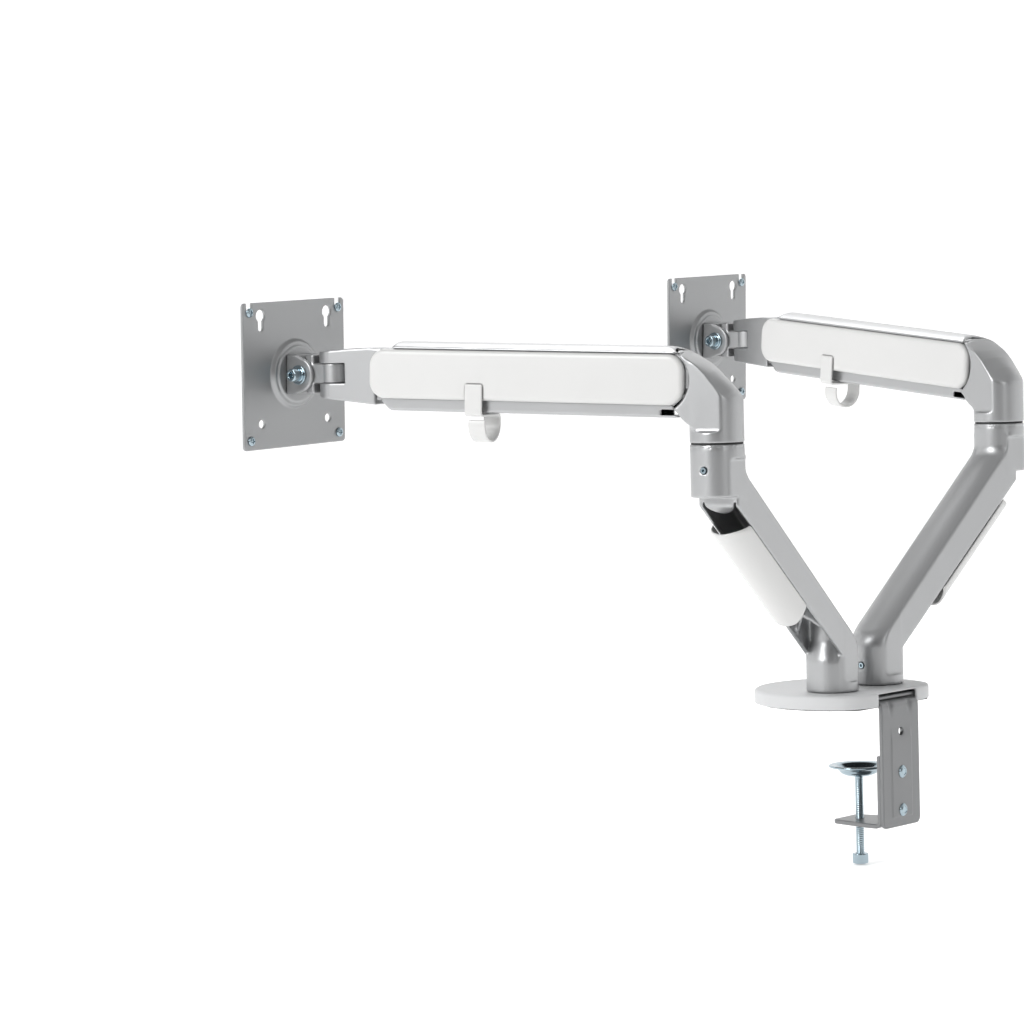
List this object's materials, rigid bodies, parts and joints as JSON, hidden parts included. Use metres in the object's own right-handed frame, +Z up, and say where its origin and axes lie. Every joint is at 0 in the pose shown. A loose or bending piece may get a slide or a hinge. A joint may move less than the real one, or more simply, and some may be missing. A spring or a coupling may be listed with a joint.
{
  "type": "monitor arm",
  "caption": "Desk-clamped stand with two folding, gas-spring parallelogram arms, each ending in a tilting, turning VESA plate.",
  "frame": {"origin": "on the desk surface, under the base, midway between the two posts", "axes": "+Z up; +Y towards the rear edge of the desk, where the clamp grips; the VESA plates face -Y; +X to the right of a person facing the screens"},
  "size_m": [0.6576, 0.3923, 0.4706],
  "materials": {
    "painted_alloy": "silver-grey powder coat over a die casting",
    "painted_steel": "grey powder coat over pressed steel",
    "white_plastic": "white moulded ABS, satin",
    "grey_plastic": "pale grey moulded ABS, fine texture",
    "zinc": "bright zinc plate with a blue passivation",
    "dark_plastic": "black nylon",
    "foam": "closed-cell foam",
    "black_steel": "black enamel"
  },
  "bodies": {
    "base": {"desk_pad": "foam", "base_plate": "painted_steel", "base_cover": "grey_plastic", "upper_clamp_bracket": "painted_steel", "lower_clamp_bracket": "painted_steel", "clamp_bolt_upper": "zinc", "clamp_bolt_lower": "zinc", "right_post": "zinc", "left_post": "zinc"},
    "clamp_cup": {"clamp_cup": "zinc", "cup_screw": "zinc"},
    "clamp_screw": {"clamp_screw": "zinc"},
    "right_lower_arm": {"right_lower_arm": "painted_alloy", "right_cable_cover": "white_plastic", "right_base_lock_screw": "zinc", "right_elbow_lock_screw": "zinc", "right_elbow_washer": "dark_plastic"},
    "right_elbow": {"right_elbow": "painted_alloy"},
    "right_upper_arm": {"right_top_link": "painted_alloy", "right_hook_side_cover": "white_plastic", "right_plain_side_cover": "white_plastic", "right_cable_hook": "white_plastic", "right_spring_cylinder": "black_steel", "right_pin_top_rear": "zinc", "right_pin_top_front": "zinc"},
    "right_lower_link": {"right_bottom_link": "painted_alloy", "right_pin_bottom_rear": "zinc", "right_pin_bottom_front": "zinc"},
    "right_gas_rod": {"right_spring_rod": "zinc"},
    "right_front_knuckle": {"right_front_knuckle": "painted_alloy", "right_swivel_pin": "zinc"},
    "right_swivel": {"right_swivel_block": "painted_alloy"},
    "right_tilt": {"right_tilt_bracket": "painted_steel", "right_tilt_bolt": "zinc", "right_hub_rivet": "zinc"},
    "right_plate": {"right_vesa_plate": "painted_steel"},
    "left_lower_arm": {"left_lower_arm": "painted_alloy", "left_cable_cover": "white_plastic", "left_base_lock_screw": "zinc", "left_elbow_lock_screw": "zinc", "left_elbow_washer": "dark_plastic"},
    "left_elbow": {"left_elbow": "painted_alloy"},
    "left_upper_arm": {"left_top_link": "painted_alloy", "left_hook_side_cover": "white_plastic", "left_plain_side_cover": "white_plastic", "left_cable_hook": "white_plastic", "left_spring_cylinder": "black_steel", "left_pin_top_rear": "zinc", "left_pin_top_front": "zinc"},
    "left_lower_link": {"left_bottom_link": "painted_alloy", "left_pin_bottom_rear": "zinc", "left_pin_bottom_front": "zinc"},
    "left_gas_rod": {"left_spring_rod": "zinc"},
    "left_front_knuckle": {"left_front_knuckle": "painted_alloy", "left_swivel_pin": "zinc"},
    "left_swivel": {"left_swivel_block": "painted_alloy"},
    "left_tilt": {"left_tilt_bracket": "painted_steel", "left_tilt_bolt": "zinc", "left_hub_rivet": "zinc"},
    "left_plate": {"left_vesa_plate": "painted_steel"}
  },
  "joints": [
    {"name": "clamp_travel", "type": "slide", "parent": "base", "child": "clamp_cup", "axis": [0, 0, 1], "range_m": [-0.03, 0.024]},
    {"name": "clamp_turn", "type": "hinge", "parent": "clamp_cup", "child": "clamp_screw", "pos_m": [0, 0.0015, -0.09], "axis": [0, 0, 1], "range_deg": [-7560, 6120]},
    {"name": "right_base_turn", "type": "hinge", "parent": "base", "child": "right_lower_arm", "pos_m": [0.0312, 0, 0.012], "axis": [0, 0, 1], "range_deg": [-50.1, 84.9]},
    {"name": "right_elbow_turn", "type": "hinge", "parent": "right_lower_arm", "child": "right_elbow", "pos_m": [0.19286, 0.01443, 0.2128], "axis": [0, 0, -1], "range_deg": [-231.2, 68.8]},
    {"name": "right_pitch", "type": "hinge", "parent": "right_elbow", "child": "right_upper_arm", "pos_m": [0.20247, -0.0244, 0.2608], "axis": [-0.9707, -0.2402, 0], "range_deg": [-37, 25]},
    {"name": "right_lower_link_pitch", "type": "hinge", "parent": "right_elbow", "child": "right_lower_link", "pos_m": [0.20247, -0.0244, 0.2458], "axis": [-0.9707, -0.2402, 0], "range_deg": [-37.5, 25.5]},
    {"name": "right_knuckle_level", "type": "hinge", "parent": "right_upper_arm", "child": "right_front_knuckle", "pos_m": [0.25768, -0.24753, 0.26883], "axis": [-0.9707, -0.2402, 0], "range_deg": [-25.5, 37.5]},
    {"name": "right_spring_stroke", "type": "slide", "parent": "right_upper_arm", "child": "right_gas_rod", "axis": [0.2401, -0.9701, 0.0349], "range_m": [-0.0075, 0.0075]},
    {"name": "right_head_swivel", "type": "hinge", "parent": "right_front_knuckle", "child": "right_swivel", "pos_m": [0.2697, -0.29607, 0.26883], "axis": [0, 0, 1], "range_deg": [-66.1, 93.9]},
    {"name": "right_head_tilt", "type": "hinge", "parent": "right_swivel", "child": "right_tilt", "pos_m": [0.2697, -0.32207, 0.26883], "axis": [-1, 0, 0], "range_deg": [-47.8, 42.2]},
    {"name": "right_plate_turn", "type": "hinge", "parent": "right_tilt", "child": "right_plate", "pos_m": [0.2697, -0.32207, 0.26883], "axis": [0, -0.9988, 0.0489], "continuous": true},
    {"name": "left_base_turn", "type": "hinge", "parent": "base", "child": "left_lower_arm", "pos_m": [-0.0312, 0, 0.012], "axis": [0, 0, -1], "range_deg": [-50.1, 84.9]},
    {"name": "left_elbow_turn", "type": "hinge", "parent": "left_lower_arm", "child": "left_elbow", "pos_m": [-0.19286, 0.01443, 0.2128], "axis": [0, 0, 1], "range_deg": [-231.2, 68.8]},
    {"name": "left_pitch", "type": "hinge", "parent": "left_elbow", "child": "left_upper_arm", "pos_m": [-0.20247, -0.0244, 0.2608], "axis": [-0.9707, 0.2402, 0], "range_deg": [-40.6, 21.4]},
    {"name": "left_lower_link_pitch", "type": "hinge", "parent": "left_elbow", "child": "left_lower_link", "pos_m": [-0.20247, -0.0244, 0.2458], "axis": [-0.9707, 0.2402, 0], "range_deg": [-41.1, 21.9]},
    {"name": "left_knuckle_level", "type": "hinge", "parent": "left_upper_arm", "child": "left_front_knuckle", "pos_m": [-0.25745, -0.2466, 0.28324], "axis": [-0.9707, 0.2402, 0], "range_deg": [-21.9, 41.1]},
    {"name": "left_spring_stroke", "type": "slide", "parent": "left_upper_arm", "child": "left_gas_rod", "axis": [-0.2391, -0.9661, 0.0976], "range_m": [-0.0075, 0.0075]},
    {"name": "left_head_swivel", "type": "hinge", "parent": "left_front_knuckle", "child": "left_swivel", "pos_m": [-0.26947, -0.29514, 0.28324], "axis": [0, 0, -1], "range_deg": [-66.1, 93.9]},
    {"name": "left_head_tilt", "type": "hinge", "parent": "left_swivel", "child": "left_tilt", "pos_m": [-0.26947, -0.32114, 0.28324], "axis": [-1, 0, 0], "range_deg": [-47.8, 42.2]},
    {"name": "left_plate_turn", "type": "hinge", "parent": "left_tilt", "child": "left_plate", "pos_m": [-0.26947, -0.32114, 0.28324], "axis": [0, -0.9988, 0.0489], "continuous": true}
  ],
  "couplings": [
    {"joint": "clamp_turn", "follows": "clamp_travel", "rad_per_m": 4188.8},
    {"joint": "right_lower_link_pitch", "follows": "right_pitch", "ratio": 1},
    {"joint": "right_knuckle_level", "follows": "right_pitch", "ratio": -1},
    {"joint": "right_spring_stroke", "follows": "right_pitch", "m_per_rad": 0.01},
    {"joint": "left_lower_link_pitch", "follows": "left_pitch", "ratio": 1},
    {"joint": "left_knuckle_level", "follows": "left_pitch", "ratio": -1},
    {"joint": "left_spring_stroke", "follows": "left_pitch", "m_per_rad": 0.01}
  ]
}
